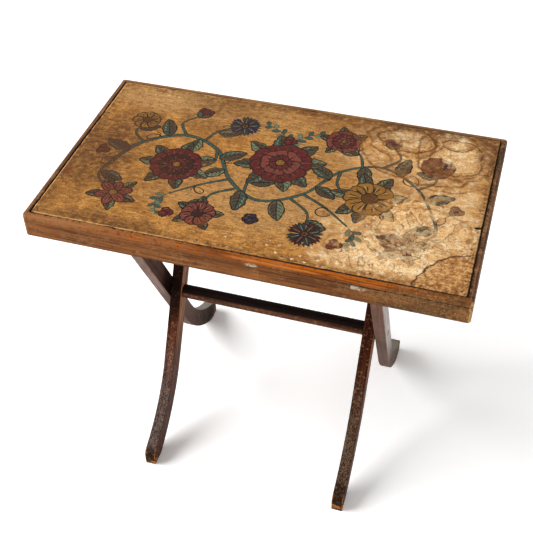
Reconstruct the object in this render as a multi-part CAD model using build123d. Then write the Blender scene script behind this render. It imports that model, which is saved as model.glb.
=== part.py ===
"""Folding side table: a framed, painted top on two pairs of crossed sabre legs.

Millimetres, +Z up, floor at Z = 0. X runs along the top, -Y is the front. The origin is on the floor,
below the middle of the whole table's outline. Every piece is first laid out with Y = 0 under the middle
of the top, and then moved to that origin in one step.
"""
import os
from math import cos, hypot, radians, sin, sqrt, tan

from build123d import *

# Top: mitred rails round a panel that lies flush between them
top_length = 610.0
top_width = 352.0
table_height = 480.0
rail_height = 36.0
rail_thickness = 8.0
rail_nose_radius = 4.0
rail_corner_radius = 5.0
quirk_drop = 9.0
quirk_height = 1.2
quirk_depth = 0.8
panel_thickness = 9.0
panel_side_gap = 1.3
panel_end_gap = 2.0
panel_edge_radius = 0.8

# Strips under the rim of the panel, nailed inside the rails
ledger_width = 14.0
ledger_height = 12.0

# Legs: straight down to the foot, which sweeps outwards and stands on a flat
leg_thickness = 17.6
leg_depth = 28.8
leg_angle = 63.0
leg_arris_radius = 1.5
inner_leg_x = 156.5
leg_gap = 2.2
crossing_z = 229.0
crossing_setback = 18.8
foot_start = 120.0
foot_hollow_radius = 215.0
foot_sole_radius = 270.0
toe_reach = 180.5
toe_radius = 13.0
fold_clearance = 5.6

# Rod through the crossing and bar across the heads of the inner legs
rod_diameter = 22.0
bar_diameter = 20.0
tenon_diameter = 14.0
tenon_length = 11.0
bar_pin_diameter = 2.5
bar_pin_inset = 1.0

# Bearers that carry the pivots, and cleats that hold the bar
bearer_thickness = 18.0
bearer_height = 24.0
bearer_gap = 1.2
ear_margin = 2.5
cleat_thickness = 18.0
cleat_inset = 12.0
cleat_front = 30.0
cleat_back = 30.0
cleat_grip = 5.0
cleat_lip_angle = 40.0

# Screws, washers, pins and nails
pivot_screw_diameter = 6.0
pivot_head_diameter = 11.0
pivot_head_height = 3.2
pivot_screw_grip = 14.0
leg_screw_grip = 24.0
washer_diameter = 18.0
washer_thickness = 1.0
leg_washer_thickness = 2.0
wood_screw_diameter = 4.0
wood_screw_head_diameter = 8.0
wood_screw_head_height = 2.6
wood_screw_grip = 6.0
bearer_screw_count = 3
bearer_screw_end = 20.0
cleat_screw_spacing = 36.0
cleat_screw_length = 30.0
panel_pin_diameter = 1.6
panel_pin_head_diameter = 3.0
panel_pin_head_height = 1.0
panel_pin_length = 18.0
panel_pin_inset = 7.0
panel_pin_count_along = 6
panel_pin_count_across = 3
nail_diameter = 2.0
nail_length = 20.0
nail_set = 0.6
nail_drops = (16.0, 28.0)

# Clearances: pieces that turn on each other, the bar in its seat, and pieces fixed in place
running_clearance = 0.05
head_clearance = 0.3
seat_clearance = 0.3
fixed_clearance = 0.02

# Worked out from the sizes above
sides = {"left": -1, "right": 1}
half_length = top_length / 2
half_width = top_width / 2
rail_bottom = table_height - rail_height
panel_bottom = table_height - panel_thickness
half_depth = leg_depth / 2
lean = radians(leg_angle)
crossing_y = -crossing_setback
outer_leg_x = inner_leg_x + leg_thickness + leg_gap
pivot_z = rail_bottom - fold_clearance - half_depth
arm = (pivot_z - crossing_z) / sin(lean)
pivot_y = crossing_y - arm * cos(lean)
bar_y = crossing_y + arm * cos(lean)
bar_z = pivot_z
inner_face_x = inner_leg_x - leg_thickness / 2
bearer_x = outer_leg_x + leg_thickness / 2 + bearer_gap
cleat_x = inner_face_x - cleat_inset - cleat_thickness
ledger_reach_x = half_length - rail_thickness
ledger_reach_y = half_width - rail_thickness
bearer_reach = ledger_reach_y - ledger_width
ear_radius = half_depth + ear_margin
front_y = min(-half_width, crossing_y - toe_reach)
back_y = max(half_width, crossing_y + toe_reach)
origin_y = (front_y + back_y) / 2


def cylinder_x(radius, start, end, y, z):
    """Round bar along X."""
    middle = (start + end) / 2
    return Pos(middle, y, z) * Rot(0, 90, 0) * Cylinder(radius, abs(end - start))


def cylinder_z(radius, bottom, top, x, y):
    """Upright round bar."""
    return Pos(x, y, (bottom + top) / 2) * Cylinder(radius, top - bottom)


def block(low, high):
    """Box between two corners."""
    size = [b - a for a, b in zip(low, high)]
    middle = [(a + b) / 2 for a, b in zip(low, high)]
    return Pos(*middle) * Box(*size)


def side_face(points):
    """Straight-sided face in the side view, from (Y, Z) points."""
    return make_face(Polyline([(0, y, z) for y, z in points], close=True))


def slab(face, start, end):
    """Solid that carries a side-view face from one X to another."""
    return extrude(Pos(start, 0, 0) * face, amount=end - start, dir=(1, 0, 0))


def rim():
    """The four rails as one ring, with the rounded nose and the quirk below it."""
    outline = RectangleRounded(top_length, top_width, rail_corner_radius)
    hollow = Rectangle(top_length - 2 * rail_thickness, top_width - 2 * rail_thickness)
    solid = Pos(0, 0, rail_bottom) * extrude(outline, rail_height)
    nose = solid.faces().sort_by(Axis.Z)[-1].edges()
    solid = fillet(nose, rail_nose_radius)
    solid -= Pos(0, 0, rail_bottom) * extrude(hollow, rail_height)
    waist = RectangleRounded(
        top_length - 2 * quirk_depth, top_width - 2 * quirk_depth, rail_corner_radius - quirk_depth)
    groove = Rectangle(top_length + rail_thickness, top_width + rail_thickness) - waist
    return solid - Pos(0, 0, table_height - quirk_drop - quirk_height) * extrude(groove, quirk_height)


def mitre_wedge(along_x, sign):
    """Block that keeps one side of the ring, cut off by the two mitres at its ends."""
    x, y = half_length, half_width
    inside_x = x - 2 * rail_thickness
    inside_y = y - 2 * rail_thickness
    if along_x:
        corners = [(-x, sign * y), (x, sign * y), (inside_x, sign * inside_y), (-inside_x, sign * inside_y)]
    else:
        corners = [(sign * x, -y), (sign * x, y), (sign * inside_x, inside_y), (sign * inside_x, -inside_y)]
    footprint = make_face(Polyline([(px, py, rail_bottom) for px, py in corners], close=True))
    return extrude(footprint, amount=rail_height, dir=(0, 0, 1))


def mitre_nail_places():
    """Corner signs and height of every nail through the mitres."""
    return [(sx, sy, table_height - drop) for sx in (-1, 1) for sy in (-1, 1) for drop in nail_drops]


def mitre_nail(sign_x, sign_y, z):
    """Nail from an end rail into the end of a long rail, punched a little below the surface."""
    start = sign_x * (half_length - nail_set)
    end = start - sign_x * nail_length
    y = sign_y * (half_width - rail_thickness / 2)
    return cylinder_x(nail_diameter / 2, start, end, y, z)


def mitre_nail_hole(sign_x, sign_y, z):
    """Hole of a nail, open at the face of the end rail."""
    start = sign_x * (half_length + nail_set)
    end = sign_x * (half_length - nail_set - nail_length)
    y = sign_y * (half_width - rail_thickness / 2)
    return cylinder_x(nail_diameter / 2 + fixed_clearance, start, end, y, z)


def rails():
    ring = rim()
    for place in mitre_nail_places():
        ring -= mitre_nail_hole(*place)
    return {
        "front_rail": ring & mitre_wedge(True, -1),
        "back_rail": ring & mitre_wedge(True, 1),
        "left_end_rail": ring & mitre_wedge(False, -1),
        "right_end_rail": ring & mitre_wedge(False, 1),
    }


def spread(count, reach):
    """Evenly spaced places from -reach to reach."""
    return [reach * (2 * i / (count - 1) - 1) for i in range(count)]


def panel_size():
    length = top_length - 2 * (rail_thickness + panel_end_gap)
    width = top_width - 2 * (rail_thickness + panel_side_gap)
    return length, width


def panel_pin_places():
    """Pins all round the rim of the panel, none of them twice at a corner."""
    length, width = panel_size()
    x = length / 2 - panel_pin_inset
    y = width / 2 - panel_pin_inset
    long_sides = [(px, sy * y) for sy in (-1, 1) for px in spread(panel_pin_count_along, x)]
    ends = [(sx * x, py) for sx in (-1, 1) for py in spread(panel_pin_count_across + 2, y)[1:-1]]
    return long_sides + ends


def panel_pin(x, y, clearance=0.0):
    head_bottom = table_height - panel_pin_head_height
    shank = cylinder_z(panel_pin_diameter / 2 + clearance, table_height - panel_pin_length, head_bottom, x, y)
    return shank + cylinder_z(panel_pin_head_diameter / 2 + clearance, head_bottom, table_height, x, y)


def wood_screw(x, y, bottom, top, clearance=0.0):
    """Countersunk screw driven upwards: its head is at the bottom."""
    head = Pos(x, y, bottom + wood_screw_head_height / 2) * Cone(
        wood_screw_head_diameter / 2 + clearance, wood_screw_diameter / 2 + clearance, wood_screw_head_height)
    return head + cylinder_z(wood_screw_diameter / 2 + clearance, bottom + wood_screw_head_height, top, x, y)


def bearer_screw_places():
    """X, Y of the screws that hold both bearers to the panel, all behind the ears."""
    x = bearer_x + bearer_thickness / 2
    front = pivot_y + ear_radius + bearer_screw_end
    back = bearer_reach - bearer_screw_end
    middle, reach = (front + back) / 2, (back - front) / 2
    return [(side * x, middle + y) for side in sides.values() for y in spread(bearer_screw_count, reach)]


def bearer_screw(x, y, clearance=0.0):
    return wood_screw(x, y, panel_bottom - bearer_height, panel_bottom + wood_screw_grip, clearance)


def cleat_screw_places():
    """X, Y of the screws that hold both cleats to the panel."""
    x = cleat_x + cleat_thickness / 2
    middle = bar_y + (cleat_back - cleat_front) / 2
    offset = cleat_screw_spacing / 2
    return [(side * x, middle + end * offset) for side in sides.values() for end in (-1, 1)]


def cleat_screw(x, y, clearance=0.0):
    top = panel_bottom + wood_screw_grip
    return wood_screw(x, y, top - cleat_screw_length, top, clearance)


def top_panel():
    length, width = panel_size()
    solid = block((-length / 2, -width / 2, panel_bottom), (length / 2, width / 2, table_height))
    rim_edges = solid.faces().sort_by(Axis.Z)[-1].edges()
    solid = fillet(rim_edges, panel_edge_radius)
    for x, y in panel_pin_places():
        solid -= panel_pin(x, y, fixed_clearance)
    for x, y in bearer_screw_places():
        solid -= bearer_screw(x, y, fixed_clearance)
    for x, y in cleat_screw_places():
        solid -= cleat_screw(x, y, fixed_clearance)
    return solid


def ledgers():
    """Two long strips along the rails, and two short ones between them at the ends."""
    x, y = ledger_reach_x, ledger_reach_y
    low, high = panel_bottom - ledger_height, panel_bottom
    strips = {
        "front_ledger": block((-x, -y, low), (x, -y + ledger_width, high)),
        "back_ledger": block((-x, y - ledger_width, low), (x, y, high)),
        "left_ledger": block((-x, ledger_width - y, low), (ledger_width - x, y - ledger_width, high)),
        "right_ledger": block((x - ledger_width, ledger_width - y, low), (x, y - ledger_width, high)),
    }
    for name in strips:
        for px, py in panel_pin_places():
            strips[name] -= panel_pin(px, py, fixed_clearance)
    return strips


def side_point(s, n, sense):
    """(Y, Z) of a point on a leg: s down from the crossing, n towards the leg's hollow side."""
    y = crossing_y + sense * (s * cos(lean) + n * sin(lean))
    z = crossing_z - s * sin(lean) + n * cos(lean)
    return y, z


def arc(centre, start, end):
    """Short arc in the side view round a centre."""
    radius = hypot(start[0] - centre[0], start[1] - centre[1])
    chord_y = (start[0] + end[0]) / 2 - centre[0]
    chord_z = (start[1] + end[1]) / 2 - centre[1]
    stretch = radius / hypot(chord_y, chord_z)
    middle = (centre[0] + chord_y * stretch, centre[1] + chord_z * stretch)
    return ThreePointArc((0, *start), (0, *middle), (0, *end))


def line(start, end):
    return Line((0, *start), (0, *end))


def leg_face(sense):
    """Side view of a leg: sense 1 has its foot at the back, -1 at the front."""
    hollow_head = side_point(-arm, half_depth, sense)
    hollow_bend = side_point(foot_start, half_depth, sense)
    hollow_centre = side_point(foot_start, half_depth + foot_hollow_radius, sense)
    sole_head = side_point(-arm, -half_depth, sense)
    sole_bend = side_point(foot_start, -half_depth, sense)
    sole_centre = side_point(foot_start, foot_sole_radius - half_depth, sense)
    crown = side_point(-arm - half_depth, 0, sense)
    toe_y = crossing_y + sense * toe_reach
    toe_rise = hollow_centre[1] - sqrt(foot_hollow_radius ** 2 - (hollow_centre[0] - toe_y) ** 2)
    heel_y = sole_centre[0] - sense * sqrt(foot_sole_radius ** 2 - sole_centre[1] ** 2)
    toe_top, toe_bottom, heel = (toe_y, toe_rise), (toe_y, 0.0), (heel_y, 0.0)
    outline = [
        line(hollow_head, hollow_bend),
        arc(hollow_centre, hollow_bend, toe_top),
        line(toe_top, toe_bottom),
        line(toe_bottom, heel),
        arc(sole_centre, heel, sole_bend),
        line(sole_bend, sole_head),
        ThreePointArc((0, *sole_head), (0, *crown), (0, *hollow_head)),
    ]
    face = Face(Wire(outline))
    corner = face.vertices().sort_by_distance((0, *toe_top))[0]
    return face.fillet_2d(toe_radius, [corner])


def leg(sense, x):
    """Leg blank with softened long edges, before it is bored."""
    solid = slab(leg_face(sense), x - leg_thickness / 2, x + leg_thickness / 2)
    outline_edges = solid.faces().filter_by(Axis.X).edges()
    return fillet(outline_edges, leg_arris_radius)


def leg_screw(side, clearance=0.0, head_room=0.0):
    """Countersunk screw through a crossing: outer leg, washer, inner leg and the end of the rod."""
    face_x = side * (outer_leg_x + leg_thickness / 2)
    neck_x = face_x - side * pivot_head_height
    end_x = side * (inner_face_x - leg_screw_grip)
    radius = pivot_screw_diameter / 2 + clearance
    head = Pos((face_x + neck_x) / 2, crossing_y, crossing_z) * Rot(0, 90 * side, 0) * Cone(
        radius, pivot_head_diameter / 2 + clearance + head_room, pivot_head_height)
    return head + cylinder_x(radius, neck_x, end_x, crossing_y, crossing_z)


def top_pivot_screw(side, clearance=0.0):
    """Screw from inside an outer leg into its bearer, with the head sunk into the leg."""
    head_x = side * (outer_leg_x - leg_thickness / 2 + head_clearance)
    neck_x = head_x + side * pivot_head_height
    end_x = side * (bearer_x + pivot_screw_grip)
    head = cylinder_x(pivot_head_diameter / 2, head_x, neck_x, pivot_y, pivot_z)
    return head + cylinder_x(pivot_screw_diameter / 2 + clearance, neck_x, end_x, pivot_y, pivot_z)


def top_pivot_bore(side):
    """Hole in an outer leg that turns on the pivot screw, with a sinking for its head."""
    face_x = side * (outer_leg_x - leg_thickness / 2)
    floor_x = face_x + side * (pivot_head_height + 2 * head_clearance)
    far_x = side * (outer_leg_x + leg_thickness / 2)
    sinking = cylinder_x(pivot_head_diameter / 2 + head_clearance, face_x, floor_x, pivot_y, pivot_z)
    bore_radius = pivot_screw_diameter / 2 + running_clearance
    return sinking + cylinder_x(bore_radius, floor_x, far_x, pivot_y, pivot_z)


def washer(inside, thickness, bore_clearance, side, y, z):
    """Flat washer from the X of its inside face outwards."""
    start = side * inside
    end = side * (inside + thickness)
    disc = cylinder_x(washer_diameter / 2, start, end, y, z)
    return disc - cylinder_x(pivot_screw_diameter / 2 + bore_clearance, start, end, y, z)


def tenon(radius, y, z, side, clearance=0.0):
    """Stub at the end of the rod or bar, inside an inner leg."""
    start = side * inner_face_x
    return cylinder_x(radius + clearance, start, start + side * (tenon_length + clearance), y, z)


def bar_pin(side):
    """Pin through the head of an inner leg and the bar's tenon, across the leg."""
    x = side * (inner_face_x + tenon_length / 2)
    length = leg_depth - 2 * bar_pin_inset
    pin = Cylinder(bar_pin_diameter / 2, length)
    return Pos(x, bar_y, bar_z) * Rot(leg_angle, 0, 0) * pin


def bar_pin_hole(side):
    """Hole of a pin, right through the leg."""
    x = side * (inner_face_x + tenon_length / 2)
    hole = Cylinder(bar_pin_diameter / 2 + fixed_clearance, leg_depth + 2 * bar_pin_inset)
    return Pos(x, bar_y, bar_z) * Rot(leg_angle, 0, 0) * hole


def outer_leg(side):
    solid = leg(1, side * outer_leg_x)
    solid -= leg_screw(side, running_clearance, head_clearance)
    return solid - top_pivot_bore(side)


def inner_leg(side):
    solid = leg(-1, side * inner_leg_x)
    solid -= leg_screw(side, fixed_clearance)
    solid -= tenon(tenon_diameter / 2, crossing_y, crossing_z, side, fixed_clearance)
    solid -= tenon(tenon_diameter / 2, bar_y, bar_z, side, fixed_clearance)
    return solid - bar_pin_hole(side)


def cross_piece(diameter, y, z):
    """Round bar between the inner legs with a stub tenon at each end."""
    solid = cylinder_x(diameter / 2, -inner_face_x, inner_face_x, y, z)
    for side in sides.values():
        solid += tenon(tenon_diameter / 2, y, z, side)
    return solid


def stretcher_rod():
    solid = cross_piece(rod_diameter, crossing_y, crossing_z)
    for side in sides.values():
        solid -= leg_screw(side, fixed_clearance)
    return solid


def top_bar():
    solid = cross_piece(bar_diameter, bar_y, bar_z)
    for side in sides.values():
        solid -= bar_pin_hole(side)
    return solid


def bearer(side):
    """Batten under the panel with a rounded ear that hangs down to the pivot."""
    low = panel_bottom - bearer_height
    reach = bearer_reach
    batten = side_face([(-reach, low), (reach, low), (reach, panel_bottom), (-reach, panel_bottom)])
    left, right = pivot_y - ear_radius, pivot_y + ear_radius
    neck = side_face([(left, pivot_z), (right, pivot_z), (right, low), (left, low)])
    start = side * bearer_x
    end = side * (bearer_x + bearer_thickness)
    solid = slab(batten, start, end) + slab(neck, start, end)
    solid += cylinder_x(ear_radius, start, end, pivot_y, pivot_z)
    solid -= top_pivot_screw(side, fixed_clearance)
    for x, y in bearer_screw_places():
        solid -= bearer_screw(x, y, fixed_clearance)
    return solid


def seat_cleat(side):
    """Block under the panel with a notch that drops over the bar: upright behind, sloping in front."""
    radius = bar_diameter / 2 + seat_clearance
    low = bar_z - cleat_grip
    front, back = bar_y - cleat_front, bar_y + cleat_back
    body = side_face([(front, low), (back, low), (back, panel_bottom), (front, panel_bottom)])
    lip = radians(cleat_lip_angle)
    lip_y, lip_z = bar_y - radius * sin(lip), bar_z + radius * cos(lip)
    mouth_y = lip_y - (lip_z - low) / tan(lip)
    stop_y = bar_y + radius
    mouth = side_face([(bar_y, bar_z), (lip_y, lip_z), (mouth_y, low), (stop_y, low), (stop_y, bar_z)])
    start = side * cleat_x
    end = side * (cleat_x + cleat_thickness)
    solid = slab(body, start, end) - slab(mouth, start, end)
    solid -= cylinder_x(radius, start, end, bar_y, bar_z)
    access_top = panel_bottom + wood_screw_grip - cleat_screw_length
    for x, y in cleat_screw_places():
        solid -= cleat_screw(x, y, fixed_clearance)
        solid -= cylinder_z(wood_screw_head_diameter / 2 + fixed_clearance, low, access_top, x, y)
    return solid


def washers(inside, thickness, y, z):
    return [washer(inside, thickness, fixed_clearance, side, y, z) for side in sides.values()]


def build():
    nodes = {"top_panel": top_panel(), **rails(), **ledgers()}
    nodes["panel_pins"] = [panel_pin(*place) for place in panel_pin_places()]
    nodes["mitre_nails"] = [mitre_nail(*place) for place in mitre_nail_places()]
    for name, side in sides.items():
        nodes[f"{name}_bearer"] = bearer(side)
        nodes[f"{name}_seat_cleat"] = seat_cleat(side)
        nodes[f"{name}_outer_leg"] = outer_leg(side)
        nodes[f"{name}_inner_leg"] = inner_leg(side)
    nodes["bearer_screws"] = [bearer_screw(*place) for place in bearer_screw_places()]
    nodes["cleat_screws"] = [cleat_screw(*place) for place in cleat_screw_places()]
    nodes["top_pivot_screws"] = [top_pivot_screw(side) for side in sides.values()]
    nodes["top_pivot_washers"] = washers(bearer_x - washer_thickness, washer_thickness, pivot_y, pivot_z)
    nodes["stretcher_rod"] = stretcher_rod()
    nodes["top_bar"] = top_bar()
    nodes["leg_pivot_screws"] = [leg_screw(side) for side in sides.values()]
    nodes["leg_washers"] = washers(
        inner_leg_x + leg_thickness / 2, leg_washer_thickness, crossing_y, crossing_z)
    nodes["bar_pins"] = [bar_pin(side) for side in sides.values()]
    return nodes


os.makedirs("parts", exist_ok=True)
to_origin = Pos(0, -origin_y, 0)
for node, shape in build().items():
    pieces = shape if isinstance(shape, list) else [shape]
    placed = [solid for piece in pieces for solid in (to_origin * piece).solids()]
    export_step(Compound(children=placed), f"parts/{node}.step")

print("crossing", crossing_y - origin_y, crossing_z)
print("top pivot", pivot_y - origin_y, pivot_z, "bar", bar_y - origin_y, bar_z)
print("outline from", front_y - origin_y, "to", back_y - origin_y)
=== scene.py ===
"""Looks of the folding side table: worn stained woods, an aged painted top, a pale studio floor and the
photograph's camera. Metres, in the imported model's frame; the painting is laid out in millimetres from the
middle of the top, with X to the right and Y to the back.
"""
from functools import reduce
from math import atan2, cos, pi, radians, sin

import bpy
import numpy as np
from mathutils import Matrix, Vector
from mathutils.geometry import delaunay_2d_cdt


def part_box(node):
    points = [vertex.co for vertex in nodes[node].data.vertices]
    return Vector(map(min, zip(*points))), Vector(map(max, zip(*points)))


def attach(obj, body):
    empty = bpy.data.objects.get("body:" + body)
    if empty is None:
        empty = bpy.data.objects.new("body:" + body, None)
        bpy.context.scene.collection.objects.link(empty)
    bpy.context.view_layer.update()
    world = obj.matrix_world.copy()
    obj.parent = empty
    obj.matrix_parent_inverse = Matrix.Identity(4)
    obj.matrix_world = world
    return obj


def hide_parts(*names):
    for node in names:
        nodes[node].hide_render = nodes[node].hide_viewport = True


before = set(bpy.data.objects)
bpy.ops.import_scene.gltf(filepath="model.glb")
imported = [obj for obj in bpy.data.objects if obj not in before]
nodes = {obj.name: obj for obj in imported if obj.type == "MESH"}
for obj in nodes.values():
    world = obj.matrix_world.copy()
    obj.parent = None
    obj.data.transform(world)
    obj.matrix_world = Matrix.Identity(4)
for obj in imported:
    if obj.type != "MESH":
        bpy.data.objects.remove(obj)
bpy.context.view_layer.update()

# Places on the table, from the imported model
panel_low, panel_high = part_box("top_panel")
top_x, top_y = (panel_low.x + panel_high.x) / 2, (panel_low.y + panel_high.y) / 2
half_x, half_y = (panel_high.x - panel_low.x) * 500, (panel_high.y - panel_low.y) * 500
top_z, bottom_z = panel_high.z, panel_low.z
LEG_LEAN = radians(63)
CROSSING_Y = -0.00715
rod_low, rod_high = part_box("stretcher_rod")
rod_z = (rod_low.z + rod_high.z) / 2

rng = np.random.default_rng(41)


def srgb(red, green, blue):
    """Linear colour from 8-bit screen values."""
    values = [v / 255 for v in (red, green, blue)]
    return tuple(v / 12.92 if v <= 0.04045 else ((v + 0.055) / 1.055) ** 2.4 for v in values)


def linked(name, data):
    """New object of the scene."""
    thing = bpy.data.objects.new(name, data)
    bpy.context.scene.collection.objects.link(thing)
    return thing


class Nodes:
    """Helpers on one node tree. A value is a number, an 8-bit colour, a vector or another node's output."""

    def __init__(self, tree):
        self.tree = tree

    def put(self, socket, value):
        if isinstance(value, bpy.types.NodeSocket):
            self.tree.links.new(value, socket)
        elif isinstance(value, tuple) and socket.type == "RGBA":
            socket.default_value = (*srgb(*value), 1.0)
        else:
            socket.default_value = value

    def add(self, kind, inputs=None, **settings):
        node = self.tree.nodes.new("ShaderNode" + kind)
        for name, value in settings.items():
            setattr(node, name, value)
        for key, value in (inputs or {}).items():
            self.put(node.inputs[key], value)
        return node

    def math(self, operation, *values):
        return self.add("Math", dict(enumerate(values)), operation=operation).outputs[0]

    def times(self, *values):
        return reduce(lambda first, second: self.math("MULTIPLY", first, second), values)

    def most(self, *values):
        return reduce(lambda first, second: self.math("MAXIMUM", first, second), values)

    def ranged(self, value, low, high, to_low=0.0, to_high=1.0, kind="LINEAR"):
        """From to_low, where value is low, to to_high."""
        inputs = {"Value": value, "From Min": low, "From Max": high, "To Min": to_low, "To Max": to_high}
        return self.add("MapRange", inputs, interpolation_type=kind).outputs[0]

    def axes(self, vector):
        return self.add("SeparateXYZ", {"Vector": vector}).outputs

    def length(self, vector):
        return self.add("VectorMath", {0: vector}, operation="LENGTH").outputs["Value"]

    def seen(self):
        """1 for the rays that show the background: from the camera, off gloss and through glass."""
        path = self.add("LightPath").outputs
        return self.most(path["Is Camera Ray"], path["Is Glossy Ray"], path["Is Transmission Ray"])


class Surface(Nodes):
    """Node tree of one material, whose colour is built up in layers."""

    def __init__(self, name, **shader):
        self.material = bpy.data.materials.new(name)
        self.material.use_nodes = True
        super().__init__(self.material.node_tree)
        self.shader = self.tree.nodes["Principled BSDF"]
        self.colour = None
        coordinates = self.add("TexCoord")
        self.place = coordinates.outputs["Object"]
        self.facing = coordinates.outputs["Normal"]
        for socket, value in shader.items():
            self.put(self.shader.inputs[socket.replace("_", " ")], value)

    def step(self, value, low, high, to_low=0.0, to_high=1.0):
        """Smooth step from to_low, where value is low, to to_high."""
        return self.ranged(value, low, high, to_low, to_high, "SMOOTHSTEP")

    def mix(self, factor, first, second):
        inputs = {0: factor, 6: first, 7: second}
        return self.add("Mix", inputs, data_type="RGBA", clamp_factor=True).outputs[2]

    def lay(self, tone, *strengths):
        """Lay a tone over the colour so far, as strongly as the product of the strengths."""
        self.colour = self.mix(self.times(*strengths), self.colour, tone)

    def veil(self, tone, field, low, high, strength):
        """Lay a tone where a field is past low, at full strength from high on."""
        self.lay(tone, self.step(field, low, high, 0.0, strength))

    def noise(self, vector, scale, detail, roughness=0.55, distortion=0.0):
        inputs = {"Vector": vector, "Scale": scale, "Detail": detail, "Roughness": roughness,
                  "Distortion": distortion}
        return self.add("TexNoise", inputs).outputs[0]

    def cells(self, vector, scale, feature="F1"):
        inputs = {"Vector": vector, "Scale": scale}
        return self.add("TexVoronoi", inputs, feature=feature).outputs["Distance"]

    def mapped(self, vector, location=(0, 0, 0), rotation=(0, 0, 0), scale=(1, 1, 1), kind="POINT"):
        inputs = {"Vector": vector, "Location": location, "Rotation": rotation, "Scale": scale}
        return self.add("Mapping", inputs, vector_type=kind).outputs[0]

    def away(self, vector, middle, sizes, turn=0.0):
        """Distance from a middle, 1 where the half sizes end, turned about Z."""
        return self.length(self.mapped(vector, middle, (0, 0, turn), sizes, "TEXTURE"))

    def ramp(self, value, *stops):
        """Colour ramp from (place, colour) stops."""
        node = self.add("ValToRGB", {"Fac": value})
        points = node.color_ramp.elements
        while len(points) < len(stops):
            points.new(0.5)
        for point, (place, colour) in zip(points, stops):
            point.position = place
            point.color = (*srgb(*colour), 1.0)
        return node.outputs[0]

    def shaken(self, vector, scale, amount):
        """The same places, moved about by noise: for ragged edges."""
        noise = self.add("TexNoise", {"Vector": vector, "Scale": scale, "Detail": 5.0})
        colour = noise.outputs["Color"]
        centred = self.add("VectorMath", {0: colour, 1: (0.5, 0.5, 0.5)}, operation="SUBTRACT")
        scaled = self.add("VectorMath", {0: centred.outputs[0], "Scale": amount}, operation="SCALE")
        return self.add("VectorMath", {0: vector, 1: scaled.outputs[0]}, operation="ADD").outputs[0]

    def finish(self, roughness, height, strength, distance):
        bump = self.add("Bump", {"Height": height, "Strength": strength, "Distance": distance})
        self.put(self.shader.inputs["Base Color"], self.colour)
        self.put(self.shader.inputs["Roughness"], roughness)
        self.put(self.shader.inputs["Normal"], bump.outputs[0])
        return self.material


def wood_grain(s, tilt, axis, coarse=1.0):
    """Long figure, streaks, fine pores and slow drift of a wood whose grain runs along one axis, once it is
    tilted about X."""
    along = s.mapped(s.place, rotation=(tilt, 0, 0))

    def stretched(length, breadth):
        return s.mapped(along, scale=tuple(length if i == axis else breadth for i in range(3)))

    figure = s.noise(stretched(5, 130 * coarse), 1.0, 6.0, 0.6, 0.6)
    streaks = s.noise(stretched(16, 330 * coarse), 1.0, 4.0, 0.62, 0.3)
    pores = s.noise(stretched(40, 1000), 1.0, 3.0, 0.6)
    drift = s.noise(stretched(5, 18), 1.0, 3.0)
    return along, figure, streaks, pores, drift


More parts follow.
